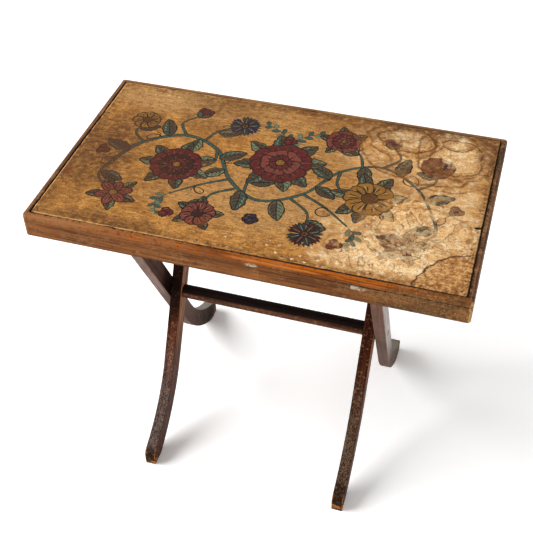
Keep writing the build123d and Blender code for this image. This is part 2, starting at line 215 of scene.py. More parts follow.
def rail_wood(name, axis, tones, nose_tones, scuffs, dirt_and_gap_shade, marks=()):
    """Stained rail: streaky faces, a rubbed nose with a painted highlight along it, a dark inner edge of
    soiling and painted shade, a black gap wall of painted shade, scuffs, paint specks and a dark foot,
    battered towards the right end and bare at the front right corner."""
    s = Surface(name, Specular_IOR_Level=0.1)
    along, figure, streaks, pores, drift = wood_grain(s, 0.0, axis)
    dark, middle, light = tones
    s.colour = s.ramp(figure, (0.30, dark), (0.5, middle), (0.72, light))
    s.veil((58, 32, 15), streaks, 0.51, 0.66, 0.75)
    s.veil(light, streaks, 0.45, 0.33, 0.55)
    s.veil(dark, drift, 0.45, 0.68, 0.5)
    s.veil((44, 24, 14), pores, 0.56, 0.72, 0.5)
    x, y, height = s.axes(s.place)
    patchy = s.noise(s.place, 46.0, 5.0, 0.66)
    mottle = s.noise(s.place, 170.0, 4.0, 0.68)
    nose_foot = top_z - 0.0084
    nose = s.step(height, nose_foot, top_z - 0.0060)
    nose_colour = s.mix(s.step(streaks, 0.38, 0.60), *nose_tones)
    nose_colour = s.mix(s.step(drift, 0.40, 0.62, 0.0, 0.3), nose_colour, middle)
    under = s.times(s.step(height, top_z - 0.0052, nose_foot), s.step(streaks, 0.34, 0.56), 0.6)
    nose_colour = s.mix(under, nose_colour, dark)
    if not axis:
        nose_colour = s.mix(s.step(x, -0.14, -0.26, 0.0, 0.7), nose_colour, (142, 94, 56))
        nose_colour = s.mix(s.step(x, 0.19, 0.28, 0.0, 0.75), nose_colour, (114, 76, 42))
    s.lay(nose_colour, nose, 0.95)
    s.veil((52, 30, 16), mottle, 0.55, 0.66, 0.6)
    # Lighter band along the rounded arris of the nose: painted highlight with rubbed wear
    ridge = s.times(s.step(height, top_z - 0.0040, top_z - 0.0022),
                    s.step(height, top_z - 0.0006, top_z - 0.0016))
    s.lay((198, 132, 72), ridge, s.step(streaks, 0.52, 0.40), 0.5)
    across = s.math("SUBTRACT", x if axis else y, top_x if axis else top_y)
    inner = s.math("SUBTRACT", s.math("ABSOLUTE", across), (half_x if axis else half_y) / 1000)
    # Painted shade: the inner edge darkened and the wall facing the panel black, as the gap shades them; the
    # edge also has soiling
    s.veil((34, 18, 10), inner, 0.0042, 0.0028, 0.85 * dirt_and_gap_shade)
    gap = s.times(s.step(inner, 0.0025, 0.0022), s.step(height, bottom_z - 0.002, bottom_z))
    s.lay((16, 9, 6), gap, dirt_and_gap_shade)
    # Groove below the nose: dark soiling to the right; to the left a light tone, painted light that lifts the
    # groove's own shade
    quirk = s.times(s.step(height, top_z - 0.0112, top_z - 0.0102), s.step(height, nose_foot, top_z - 0.0092))
    s.lay(s.mix(s.step(x, -0.10, 0.22), light, (40, 21, 12)), quirk)
    s.veil((50, 29, 18), height, top_z - 0.0325, top_z - 0.0355, 0.6)
    s.lay((164, 120, 78), s.step(patchy, 0.50, 0.60), s.step(mottle, 0.42, 0.56), scuffs)
    s.veil((196, 172, 142), s.noise(s.place, 240.0, 2.0, 0.7), 0.72, 0.76, 0.8)
    for mark_x, drop, long, tall, tone, strength in marks:
        away = s.away(s.shaken(s.place, 90.0, 0.008), (mark_x, 0, top_z - drop), (long, 10.0, tall))
        s.lay(tone, s.step(away, 1.25, 0.5), s.step(mottle, 0.40, 0.54), strength)
    scored = s.step(s.noise(s.mapped(s.place, scale=(900, 900, 30)), 1.0, 2.0, 0.6, 0.4), 0.60, 0.68)
    s.lay((50, 30, 18), scored, s.step(x, 0.19, 0.25), 0.6)
    battered = s.step(x, 0.14, 0.25)
    crumbs = s.noise(s.place, 330.0, 4.0, 0.75)
    s.lay((190, 142, 86), battered, s.step(crumbs, 0.54, 0.62), 0.4)
    s.lay((44, 26, 14), battered, s.step(crumbs, 0.44, 0.37), 0.45)
    nx, ny, _ = s.axes(s.facing)
    corner = s.times(s.step(nx, 0.2, 0.5), s.step(ny, -0.2, -0.5), s.step(mottle, 0.38, 0.50, 0.3, 1.0))
    s.lay((214, 164, 104), corner, 0.85)
    nicks = s.step(s.noise(along, 190.0, 2.0, 0.6, 0.8), 0.68, 0.73, 0.0, 0.75)
    s.lay((36, 20, 12), nicks)
    relief = s.math("ADD", s.times(pores, 0.5), s.times(streaks, 0.4))
    relief = s.math("SUBTRACT", relief, s.times(nicks, 0.8))
    return s.finish(s.step(figure, 0.2, 0.8, 0.52, 0.4), relief, 0.35, 0.0007)


def leg_wood(name, tilt, tones, dust, dust_top, cross, smooth):
    """Dark stained leg: dusty towards the floor, in cross-grain where asked, with painted shade black round
    the crossing and dark above the rod, painted light on faces that face right, rubbed arrises and worn toes.
    Smooth is 1 for the outer pair, which has dust and a painted reflection on its right face, and 0 for the
    inner pair."""
    s = Surface(name, Specular_IOR_Level=0.02, Sheen_Roughness=0.4)
    along, figure, streaks, pores, drift = wood_grain(s, tilt, 2, 1.3)
    dark, middle, light = tones
    coarse = 1.0 - smooth
    x, y, z = s.axes(s.place)
    nx, _, nz = s.axes(s.facing)
    out = s.math("ABSOLUTE", s.math("SUBTRACT", y, CROSSING_Y))
    patchy = s.noise(s.place, 60.0, 5.0, 0.65)
    mottle = s.noise(s.place, 210.0, 4.0, 0.7)
    s.colour = s.ramp(figure, (0.30, dark), (0.5, middle), (0.74, light))
    s.veil((26, 13, 9), streaks, 0.50, 0.66, 0.7 - 0.5 * smooth)
    s.veil(dark, drift, 0.42, 0.66, 0.5)
    s.veil((24, 12, 9), pores, 0.54, 0.7, 0.6 - 0.3 * smooth)
    flecks = s.times(s.step(mottle, 0.54, 0.62), s.step(patchy, 0.40, 0.56, 0.3, 0.9 - 0.6 * smooth))
    s.lay(s.mix(figure, (118, 62, 36), (178, 124, 90)), flecks)

    slanted = s.mapped(s.place, rotation=(tilt, radians(-40), 0), scale=(640, 430, 90))
    diagonal = s.noise(slanted, 1.0, 3.0, 0.6, 0.5)
    low = s.times(s.step(z, dust_top, 0.3 * dust_top), s.step(patchy, 0.30, 0.55, 0.6, 1.0))
    left = s.step(x, 0.05, -0.05)
    powder = s.mix(s.times(left, cross), dust, (108, 98, 94))
    s.lay(powder, low, s.step(diagonal, 0.43, 0.55, 1.0 - 0.9 * cross, 1.0), 0.85)
    hatched = s.times(s.step(left, 0.0, 1.0, 1.0, 0.55), cross)
    s.lay((24, 15, 10), low, s.step(diagonal, 0.52, 0.42), hatched)
    # Painted shade: near black round the crossing under the top, on the faces towards the middle and on the
    # inner legs, stronger on the left
    crossing = s.away(s.place, (0, CROSSING_Y, rod_z + 0.012), (1e3, 0.085, 0.085))
    inside = s.times(s.step(nx, 0.2, 0.7), left)
    shade_faces = s.most(inside, 0.9 * coarse)
    s.lay((14, 8, 7), s.step(crossing, 1.0, 0.35), shade_faces, s.step(left, 0.0, 1.0, 0.35, 0.95))
    # Painted shade: darker from the rod up towards the top, on the faces towards the middle and on the inner
    # legs
    s.lay((52, 22, 16), s.step(z, rod_z, rod_z + 0.08), s.most(inside, 0.6 * coarse), 0.6)

    squared = s.times(nx, nx)
    arris = s.times(4.0, squared, s.math("SUBTRACT", 1.0, squared))
    rubbed = s.times(s.step(arris, 0.25, 0.8), s.step(s.noise(s.place, 70.0, 4.0, 0.6), 0.36, 0.54))
    s.lay(light, rubbed, s.step(nx, -0.1, 0.1), 0.8)
    s.lay((22, 12, 9), s.step(arris, 0.2, 0.7), s.step(nx, 0.1, -0.1), 0.6 * coarse)
    # Painted light: the inner legs' faces that face right are lighter, as if lit from the right
    lit_right_faces = s.times(s.step(nx, 0.55, 0.85), s.step(patchy, 0.30, 0.50, 0.6, 1.0), s.step(z, 0.07, 0.22),
                     s.step(streaks, 0.60, 0.44, 0.25, 1.0))
    # Pale right face of the right outer leg: dust, with a painted reflection of glare; the sheen adds to it
    # at grazing angles
    depth = s.math("SUBTRACT", s.axes(along)["Y"], CROSSING_Y * cos(tilt) - rod_z * sin(tilt))
    right_side = s.times(s.step(left, 1.0, 0.0), s.step(nx, 0.5, 0.8), s.step(depth, -0.0145, -0.0115),
                         s.step(z, 0.08, 0.24), s.step(patchy, 0.30, 0.50, 0.5, 1.0),
                         s.step(streaks, 0.64, 0.44, 0.6, 1.0))
    s.lay((60, 38, 28), s.step(z, 0.15, 0.06), s.step(left, 0.0, 1.0, 0.4, 1.0),
          s.step(mottle, 0.40, 0.60, 0.5, 1.0), smooth * 0.8)
    s.lay((22, 13, 11), s.step(out, 0.07, 0.16), inside, 0.85 * smooth)
    s.lay((150, 148, 136), s.step(nz, 0.6, 0.85), 0.6 * smooth)
    s.lay((156, 136, 122), s.step(z, 0.014, 0.005), s.step(mottle, 0.46, 0.56), 0.7 * smooth)
    s.lay((200, 140, 104), lit_right_faces, 0.8 * coarse)
    s.lay((182, 160, 140), right_side, 0.85 * smooth)
    s.put(s.shader.inputs["Sheen Weight"], s.times(right_side, smooth))
    # Painted light: the left outer leg's narrow faces lighter near the crossing, as if lit from the front
    s.lay((182, 156, 144), left, s.step(nx, 0.5, 0.2), s.step(z, 0.20, 0.26), s.step(streaks, 0.58, 0.44),
          0.4 * smooth)
    shaded = s.times(s.step(nx, 0.55, 0.85), s.step(z, 0.20, 0.09), 0.7 * coarse)
    s.lay(s.mix(figure, (58, 28, 20), (110, 64, 46)), shaded)
    chips = s.step(s.noise(s.place, 260.0, 3.0, 0.7), 0.68, 0.72, 0.0, 0.8)
    s.lay((182, 140, 106), chips)

    tip = s.times(s.step(out, 0.166, 0.1745), s.step(z, 0.036, 0.024))
    bare = s.most(s.step(arris, 0.10, 0.5), s.step(patchy, 0.48, 0.58, 0.0, 0.9))
    # Darker towards the right inner leg's toe
    dark_toe = s.times(s.step(left, 1.0, 0.0), s.step(out, 0.150, 0.160), s.step(z, 0.048, 0.038),
                       s.step(mottle, 0.58, 0.48, 0.2, 1.0), 0.85 * coarse)
    s.lay((30, 18, 12), s.most(s.times(tip, 0.85), dark_toe))
    s.lay(s.mix(figure, (150, 82, 32), (206, 140, 78)), tip, bare, s.step(mottle, 0.64, 0.52))
    relief = s.math("ADD", s.times(streaks, 0.4), s.times(low, diagonal, cross))
    relief = s.math("SUBTRACT", s.math("ADD", s.times(pores, 0.5), relief), s.times(chips, 0.5))
    return s.finish(s.step(patchy, 0.3, 0.7, 0.38, 0.58), relief, 0.4, 0.0007)


def rod_wood(name):
    """Round rod: black on top, with painted shade from the table top and old soiling; brown and flecked
    below, where hands and feet rub it.
    """
    s = Surface(name, Specular_IOR_Level=0.02)
    _, figure, streaks, pores, drift = wood_grain(s, 0.0, 0, 1.3)
    nz = s.axes(s.facing)["Z"]
    mottle = s.noise(s.place, 190.0, 4.0, 0.7)
    s.colour = s.ramp(figure, (0.30, (50, 28, 20)), (0.5, (92, 58, 42)), (0.74, (128, 86, 62)))
    s.veil((30, 17, 12), streaks, 0.52, 0.66, 0.6)
    s.veil((150, 100, 66), mottle, 0.54, 0.62, 0.75)
    s.veil((44, 26, 20), drift, 0.48, 0.66, 0.6)
    # Painted shade with soiling: the upward-facing half near black, as the table top shades it
    grime = s.step(s.math("ADD", nz, s.times(s.math("SUBTRACT", mottle, 0.5), 0.5)), 0.36, 0.60, 0.0, 0.96)
    s.lay(s.mix(s.step(streaks, 0.4, 0.6), (18, 15, 17), (30, 22, 21)), grime)
    relief = s.math("ADD", s.times(pores, 0.5), s.times(streaks, 0.5))
    return s.finish(s.step(mottle, 0.3, 0.7, 0.4, 0.6), relief, 0.4, 0.0006)


def bare_wood(name, axis, tones, shade_from=None):
    """Unstained wood under the top, darkened by age; from a height upwards it may be black with painted
    shade, as on the panel's edges and pin holes seen down the gaps.
    """
    s = Surface(name, Specular_IOR_Level=0.1)
    along, figure, streaks, pores, drift = wood_grain(s, 0.0, axis, 0.8)
    dark, middle, light = tones
    s.colour = s.ramp(figure, (0.28, dark), (0.52, middle), (0.78, light))
    s.veil(dark, streaks, 0.53, 0.68, 0.5)
    s.veil(dark, pores, 0.56, 0.72, 0.45)
    s.veil((92, 62, 38), s.noise(s.place, 18.0, 5.0, 0.6), 0.5, 0.68, 0.5)
    # Painted shade: black from a height up, for walls seen only down a gap or hole
    if shade_from is not None:
        height = s.axes(s.place)["Z"]
        s.lay((18, 11, 7), s.step(height, shade_from, shade_from + 0.001))
    saw = s.noise(s.mapped(along, scale=tuple(420 if i == axis else 30 for i in range(3))), 1.0, 2.0)
    relief = s.math("ADD", s.times(pores, 0.6), s.times(saw, 0.35))
    return s.finish(s.step(drift, 0.3, 0.7, 0.6, 0.75), relief, 0.35, 0.0006)


def old_iron(name):
    """Dull dark iron with rust in patches."""
    s = Surface(name, Metallic=0.85)
    rust = s.noise(s.place, 420.0, 5.0, 0.65)
    pits = s.noise(s.place, 1500.0, 3.0, 0.7)
    s.colour = s.mix(s.step(rust, 0.48, 0.64, 0.0, 0.85), (78, 70, 64), (84, 48, 30))
    s.veil((34, 26, 22), pits, 0.56, 0.7, 0.6)
    return s.finish(s.step(rust, 0.4, 0.65, 0.38, 0.8), pits, 0.25, 0.0003)


# Painted top: a garland of common flowers, cut into the panel's own top face
INK = srgb(12, 12, 15)
TEAL = srgb(54, 86, 78)
TEAL_DARK = srgb(26, 46, 47)
TEAL_PALE = srgb(110, 130, 102)
CRIMSON = srgb(96, 28, 34)
CRIMSON_DARK = srgb(52, 16, 23)
ROSE = srgb(130, 62, 54)
OCHRE = srgb(162, 112, 48)
OCHRE_DARK = srgb(96, 57, 25)
NAVY = srgb(32, 31, 56)
SALMON = srgb(164, 96, 76)
TINT = 0.12


def placed(points, x, y, angle):
    """Points turned by an angle and moved to x, y."""
    c, s = cos(angle), sin(angle)
    px, py = points.T
    return np.stack([x + c * px - s * py, y + s * px + c * py], axis=1)


def curve(knots, gap=3.0):
    """Smooth path through knots, with points about gap apart."""
    knots = np.array(knots, float)
    ends = np.vstack([2 * knots[0] - knots[1], knots, 2 * knots[-1] - knots[-2]])
    path = []
    for a, b, c, d in zip(ends, ends[1:], ends[2:], ends[3:]):
        count = max(2, int(np.linalg.norm(c - b) / gap))
        for t in np.arange(count) / count:
            path.append(0.5 * (2 * b + (c - a) * t + (2 * a - 5 * b + 4 * c - d) * t ** 2
                               + (3 * b - a - 3 * c + d) * t ** 3))
    return np.array(path + [knots[-1]])


def edges_of(path, half):
    """Left and right edges of a band along a path; half is its half width at each point."""
    run = np.gradient(path, axis=0)
    across = np.stack([-run[:, 1], run[:, 0]], axis=1) / np.linalg.norm(run, axis=1)[:, None]
    return path + across * half[:, None], path - across * half[:, None]


def grown(points, distance):
    """Closed outline moved outwards, unevenly as a brush does."""
    run = np.roll(points, -1, axis=0) - np.roll(points, 1, axis=0)
    out = np.stack([run[:, 1], -run[:, 0]], axis=1) / (np.linalg.norm(run, axis=1)[:, None] + 1e-9)
    return points + out * (distance * rng.uniform(0.55, 1.35, len(points)))[:, None]


def lobe(length, width, bulge, notch, count=18):
    """Petal from 0, 0 along X; a positive bulge is widest near the tip, and a notch splits the tip."""
    u = np.linspace(2 * pi, 0, count, endpoint=False)
    x = length * (1 - np.cos(u)) / 2
    y = width / 2 * np.sin(u) * (1 - bulge * np.cos(u))
    x = x - notch * length * np.exp(-(y / (0.24 * width)) ** 2) * (np.cos(u) < -0.4)
    return np.stack([x, y], axis=1) + rng.normal(0, 0.22, (count, 2))


def tinted(colour):
    return tuple(np.array(colour) * rng.uniform(1 - TINT, 1 + TINT))


class Painting:
    """Shapes in the order they were painted, each an outline with a colour and how well it covers."""

    def __init__(self):
        self.outlines = []
        self.colours = []

    def fill(self, points, colour, cover=0.98):
        following = np.roll(points, -1, axis=0)
        if (points[:, 0] * following[:, 1] - following[:, 0] * points[:, 1]).sum() < 0:
            points = points[::-1]
        self.outlines.append(points)
        self.colours.append((*colour, cover))

    def inked(self, points, colour, ink=1.9):
        self.fill(grown(points, ink), INK)
        self.fill(points, tinted(colour))

    def stroke(self, path, width, colour=INK, cover=0.96):
        """Brush stroke that thins out at both ends."""
        path = np.array(path, float)
        if len(path) < 5:
            path = curve(path, np.linalg.norm(path[-1] - path[0]) / 6)
        t = np.linspace(0, 1, len(path))
        left, right = edges_of(path, width / 2 * (0.25 + 0.75 * np.sin(pi * (0.08 + 0.84 * t))))
        self.fill(np.vstack([right, left[::-1]]), colour, cover)

    def ribbon(self, path, half, colour):
        """Band along a path, laid down in short lengths so that it may curl over itself."""
        left, right = edges_of(path, half)
        for i in range(len(path) - 1):
            self.fill(np.array([right[i], right[i + 1], left[i + 1], left[i]]), colour)

    def stem(self, knots, width):
        """Stem with an inked edge."""
        path = curve(knots)
        t = np.linspace(1, 0.55, len(path))
        for half, tone in ((width / 2 + 1.1, INK), (width / 2, TEAL)):
            self.ribbon(path, half * t * rng.uniform(0.9, 1.1, len(path)), tone)

    def tendril(self, x, y, angle, size, turns, sense):
        t = np.linspace(0, 1, int(18 * turns) + 6)
        around = sense * 2 * pi * turns * t
        shrink = size * (1 - 0.82 * t)
        path = np.stack([shrink * np.sin(around) * 0.8 + size * 0.9 * t,
                         sense * shrink * (1 - np.cos(around))], axis=1)
        self.ribbon(placed(path, x, y, angle), np.linspace(1.1, 0.5, len(path)), INK)

    def leaf(self, x, y, angle, length, width, bend, tone, ripple):
        t = np.linspace(0, 1, 13)
        spine = placed(np.stack([length * t, bend * length * t * (1 - 0.55 * t)], axis=1), x, y, angle)
        half = width / 2 * np.sin(pi * t ** 0.85) ** 0.85 * (1 + ripple * np.sin(22 * t)) + 0.15
        left, right = edges_of(spine, half)
        self.inked(np.vstack([right, left[::-1]]), tone)
        shaded = edges_of(spine, 0.92 * half)[1]
        self.fill(np.vstack([shaded, spine[::-1]]), tinted(TEAL_DARK), 0.85)
        pale = edges_of(spine, 0.62 * half)[0][3:-2]
        self.stroke(pale, 2.4, TEAL_PALE, 0.75)
        self.stroke(spine, 2.0)
        for i in (3, 5, 7, 9):
            for edge in (left, right):
                self.stroke([spine[i - 1], 0.45 * spine[i] + 0.55 * edge[i],
                             0.2 * spine[i + 1] + 0.8 * edge[i + 1]], 1.4)

    def fern(self, knots, count, size):
        path = curve(knots, 2.0)
        self.stroke(path, 1.6, TEAL_DARK)
        run = np.gradient(path, axis=0)
        for i, at in enumerate(np.linspace(0.15, 0.97, count)):
            k = int(at * (len(path) - 1))
            heading = atan2(run[k][1], run[k][0]) + (0.85 if i % 2 else -0.85)
            self.inked(placed(lobe(size * (1.15 - 0.5 * at), size * 0.48, 0.0, 0, 12), *path[k], heading),
                       TEAL if i % 3 else TEAL_PALE, 0.55)

    def berries(self, x, y, size, count, colour):
        for i in range(count):
            angle = 2 * pi * i / count + rng.uniform(-0.3, 0.3)
            away = size * 0.95
            bx, by = x + away * cos(angle), y + away * sin(angle)
            ball = lobe(2 * size, 2 * size, 0, 0, 14)
            self.inked(placed(ball, bx - size * cos(angle), by - size * sin(angle), angle), colour)
            self.stroke([(bx - 0.5 * size, by + 0.2 * size), (bx - 0.1 * size, by + 0.55 * size),
                         (bx + 0.35 * size, by + 0.5 * size)], 1.0, ROSE, 0.7)

    def ring(self, x, y, radius, length, width, count, colour, start, bulge, notch, rays, sheen=ROSE):
        """Petals round a middle, each with dark and light rays drawn on it from its root."""
        for i in range(count):
            angle = start + 2 * pi * i / count + rng.uniform(-0.07, 0.07)
            stretch = rng.uniform(0.92, 1.06)
            px, py = x + radius * cos(angle), y + radius * sin(angle)
            self.inked(placed(lobe(length * stretch, width, bulge, notch), px, py, angle), colour)
            for j in range(2 * rays - 1):
                side = (j - (rays - 1)) / 2
                lean = side * 0.44 * width / length
                far = length * stretch * (0.82 - 0.13 * abs(side)) * rng.uniform(0.85, 1.05)
                near = 0.16 * length
                ends = [(px + d * cos(angle + lean * k), py + d * sin(angle + lean * k))
                        for d, k in ((near, 0.6), ((near + far) / 2, 0.9), (far, 1.15))]
                if j % 2:
                    self.stroke(ends, 1.7, tinted(sheen), 0.85)
                else:
                    self.stroke(ends, 2.1)

    def heart(self, x, y, radius, colour, dots, dot=INK):
        """Round middle of a flower with a circle of dots."""
        self.inked(placed(lobe(2 * radius, 2 * radius, 0, 0, 16), x - radius, y, 0), colour)
        for i in range(dots):
            angle = 2 * pi * i / dots
            dx, dy = x + 0.58 * radius * cos(angle), y + 0.58 * radius * sin(angle)
            self.fill(placed(lobe(1.7, 1.7, 0, 0, 8), dx - 0.85, dy, 0), dot)

    def collar(self, x, y, r, count, start):
        """Leaves that show behind a blossom."""
        for i in range(count):
            angle = start + 2 * pi * i / count + rng.uniform(-0.15, 0.15)
            self.leaf(x + 0.55 * r * cos(angle), y + 0.55 * r * sin(angle), angle, 0.98 * r, 0.5 * r,
                      rng.choice([-0.25, 0.25]), TEAL if i % 3 else TEAL_PALE, 0.1)

    def rose(self, x, y, r, start, colour=CRIMSON, inner=CRIMSON_DARK):
        self.ring(x, y, 0.3 * r, 0.75 * r, 0.8 * r, 7, colour, start, 0.42, 0.12, 4)
        self.ring(x, y, 0.1 * r, 0.62 * r, 0.66 * r, 5, inner, start + pi / 5, 0.4, 0.1, 3)
        self.ring(x, y, 0.02 * r, 0.36 * r, 0.36 * r, 5, colour, start, 0.3, 0.0, 1)
        self.heart(x, y, 0.14 * r, OCHRE, 5)

    def daisy(self, x, y, r, count, start, colour=OCHRE, middle=OCHRE_DARK, sheen=srgb(196, 156, 92)):
        self.ring(x, y, 0.24 * r, 0.76 * r, 0.6 * r, count, colour, start, 0.3, 0.08, 2, sheen)
        self.heart(x, y, 0.3 * r, middle, 8)

    def star(self, x, y, r, count, start, colour):
        self.ring(x, y, 0.1 * r, 0.9 * r, 0.52 * r, count, colour, start, -0.05, 0.0, 2, SALMON)
        self.heart(x, y, 0.2 * r, OCHRE, 6)

    def tuft(self, x, y, r, start, colour=NAVY):
        """Cornflower: toothed petals that fan out from a dark middle."""
        fan = r * np.array([(0.1, -0.05), (0.75, -0.3), (1.0, -0.24), (0.84, -0.12), (1.06, 0.0),
                            (0.84, 0.12), (1.0, 0.24), (0.75, 0.3), (0.1, 0.05)])
        for i in range(8):
            angle = start + 2 * pi * i / 8 + rng.uniform(-0.1, 0.1)
            petal = placed(fan + rng.normal(0, 0.2, fan.shape), x, y, angle)
            self.inked(petal, colour if i % 2 else TEAL_DARK, 0.5)
            ray = placed(np.array([(0.25, 0.0), (0.5, 0.0), (0.8, 0.0)]) * r, x, y, angle)
            self.stroke(ray, 1.0, TEAL_PALE, 0.6)
        self.heart(x, y, 0.22 * r, CRIMSON_DARK, 6, OCHRE)

    def bud(self, x, y, angle, size):
        """Closed bud in two sepals."""
        for turn in (-0.35, 0.35, 0.0):
            self.inked(placed(lobe(size, 0.55 * size, -0.1, 0, 14), x, y, angle + turn), CRIMSON)
        for turn in (-0.75, 0.75):
            self.inked(placed(lobe(0.62 * size, 0.26 * size, 0, 0, 12), x, y, angle + turn), TEAL)


def garland():
    """Two mirrored waves of one stem, with flowers in their hollows and sprays outside them."""
    art = Painting()
    wave = [(-236, -30), (-208, 24), (-152, 56), (-96, 34), (-58, -26), (-6, -60), (50, -30), (88, 32),
            (144, 57), (200, 22), (232, -34)]
    art.stem(wave, 5.2)
    offshoots = [
        [(-96, 34), (-92, 6), (-108, -12), (-132, -14)], [(88, 32), (90, 4), (104, -12), (128, -15)],
        [(-30, -50), (-30, -20), (-12, 6), (0, 18)], [(-208, 24), (-228, 44), (-226, 66)],
        [(200, 22), (220, 42), (220, 66)], [(-236, -30), (-240, -66), (-214, -92)],
        [(232, -34), (238, -66), (212, -94)], [(-122, 50), (-110, 78), (-84, 96)],
        [(116, 50), (106, 78), (82, 98)], [(-44, -44), (-72, -66), (-74, -96)],
        [(36, -44), (66, -68), (70, -98)], [(-152, 56), (-168, 84), (-150, 108)],
        [(144, 57), (164, 84), (150, 108)], [(-58, -26), (-92, -48), (-128, -78)],
        [(50, -30), (86, -50), (124, -80)],
    ]
    for knots in offshoots:
        art.stem(knots, 3.0)
    for x, y, angle, size, sense in (
            (-186, 42, 2.2, 15, 1), (178, 42, 0.9, 15, -1), (-236, -40, 3.4, 13, -1), (233, -44, -0.3, 13, 1),
            (-78, 6, 0.2, 12, 1), (70, 6, 2.9, 12, -1), (-98, -52, -2.0, 13, 1), (92, -54, -1.1, 13, -1),
            (-104, 84, 2.0, 11, -1), (102, 84, 1.1, 11, 1)):
        art.tendril(x, y, angle, size, 1.35, sense)
    leaves = [
        (-222, 2, 2.75, 40, 19, 0.2), (-176, 46, 1.9, 42, 19, -0.2), (-128, 52, -1.9, 36, 18, 0.25),
        (-84, 16, 0.35, 40, 19, 0.2), (-70, -8, -2.5, 34, 17, -0.2), (-34, -48, -1.6, 42, 20, 0.22),
        (20, -54, -1.25, 42, 20, -0.22), (62, -12, -0.6, 34, 17, 0.2), (78, 14, 2.75, 40, 19, -0.2),
        (120, 52, -1.2, 36, 18, -0.25), (170, 46, 1.25, 42, 19, 0.2), (216, 2, 0.4, 40, 19, -0.2),
        (-226, 54, 0.3, 30, 15, 0.2), (220, 54, 2.85, 30, 15, -0.2), (-238, -58, -0.25, 34, 17, 0.2),
        (236, -58, 3.4, 34, 17, -0.2), (-70, -82, -2.85, 30, 15, 0.2), (68, -84, -0.3, 30, 15, -0.2),
        (-22, 8, 2.7, 32, 16, -0.2), (-28, -24, 0.2, 34, 17, 0.2), (-106, 78, 0.25, 30, 15, -0.2),
        (104, 78, 2.9, 30, 15, 0.2),
    ]
    for x, y, angle, length, width, bend in leaves:
        art.leaf(x + rng.normal(0, 1.2), y + rng.normal(0, 1.2), angle + rng.normal(0, 0.1), length, width,
                 bend, TEAL if rng.random() < 0.75 else TEAL_PALE, rng.choice([0.0, 0.09]))
    art.fern([(0, 62), (-4, 84), (-22, 104), (-46, 116)], 9, 15)
    art.fern([(0, 62), (6, 84), (24, 104), (48, 115)], 9, 15)
    art.fern([(-128, -78), (-140, -98), (-132, -122)], 8, 13)
    art.fern([(124, -80), (138, -98), (132, -122)], 8, 13)
    for collar in ((-142, -14, 36, 7, 0.5), (0, 30, 43, 8, 0.2), (140, -15, 36, 7, 0.2),
                   (-204, -98, 24, 5, 0.9), (200, -100, 24, 5, 0.3), (76, 104, 24, 5, 0.5),
                   (-76, -108, 23, 5, 0.2)):
        art.collar(*collar)
    art.rose(-142, -14, 36, 0.3)
    art.rose(0, 30, 43, 0.2, CRIMSON, ROSE)
    art.daisy(140, -15, 36, 10, 0.1)
    art.star(-204, -98, 26, 6, 0.4, ROSE)
    art.star(200, -100, 26, 6, 0.1, CRIMSON)
    art.tuft(-76, 102, 24, 0.2)
    art.rose(76, 104, 25, 0.9, ROSE, CRIMSON)
    art.daisy(-76, -108, 24, 9, 0.3, ROSE, CRIMSON_DARK, SALMON)
    art.tuft(74, -110, 24, 0.5, CRIMSON_DARK)
    art.daisy(-224, 78, 22, 8, 0.2)
    art.rose(218, 78, 23, 0.5, ROSE, CRIMSON)
    art.bud(-148, 106, 1.3, 24)
    art.bud(150, 106, 1.8, 24)
    for x, y, count in ((-258, -8, 3), (258, -10, 3), (-4, -100, 5), (-118, -118, 3), (116, -120, 3),
                        (0, 84, 3)):
        art.berries(x, y, 5.2, count, CRIMSON if count == 3 else NAVY)
    return art


# Panel: mesh sizes, kinds of face, and wear that follows the old table, all in mm from the middle of the top
EDGE_ROUND = 0.8
BACK_CHAMFER = 0.6
RIM_CORNER = 2.2
RIM_GAP = 6.0
PIN_HOLE = 1.56
PIN_DEPTH = 1.25
PIN_SPREAD = 6.0
NO_PAINT = (0.0, 0.0, 0.0, 0.0)
PAINTED, ROUNDED, BARE = range(3)
# x, y, reach and depth of chips in the panel's border
EDGE_CHIPS = [(293, -36, 4.0, 4.5), (-180, -166, 6, 1.2), (120, -166, 4, 1.0), (-95, 167, 3, 1.2),
              (103, 167, 3, 1.2), (-294, 60, 5, 1.0)]
# x, y, half length, half width, strength and turn, where there is one, of stains
STAINED = [(200, 100, 108, 78, 0.6), (220, -66, 90, 100, 0.9), (165, -124, 66, 42, 0.9, 0.2)]
PALE_PATCHES = [(232, 151, 25, 24, 1.0), (240, 108, 27, 30, 0.9), (165, 134, 32, 20, 0.9),
                (122, 139, 15, 11, 0.5), (264, 92, 16, 26, 0.6), (185, -128, 66, 28, 1.0),
                (226, -122, 24, 42, 0.95), (120, -142, 32, 14, 0.7), (212, -84, 64, 42, 0.85),
                (250, -36, 38, 44, 0.7), (262, 20, 26, 32, 0.6), (205, 44, 32, 20, 0.6, 0.3),
                (110, -84, 24, 26, 0.35)]
GREYED = [(-215, 140, 90, 34, 0.6), (-60, 130, 120, 40, 0.3), (10, -64, 140, 58, 0.5),
          (80, 60, 90, 50, 0.3)]
DARK_PATCHES = [(-262, -10, 62, 96, 0.85), (-190, -60, 70, 60, 0.35, 0.5), (110, 148, 90, 26, 0.4),
                (-117, 146, 60, 26, 0.6), (-190, -158, 76, 20, 0.75), (-225, 80, 34, 26, 0.5),
                (-130, 92, 56, 22, 0.45, -0.3), (20, 166, 130, 12, 0.5), (196, 164, 84, 12, 0.6),
                (286, 140, 18, 44, 0.6), (-292, -130, 22, 50, 0.5), (150, 62, 26, 14, 0.4, 0.4),
                (190, 10, 40, 12, 0.35, -0.2)]
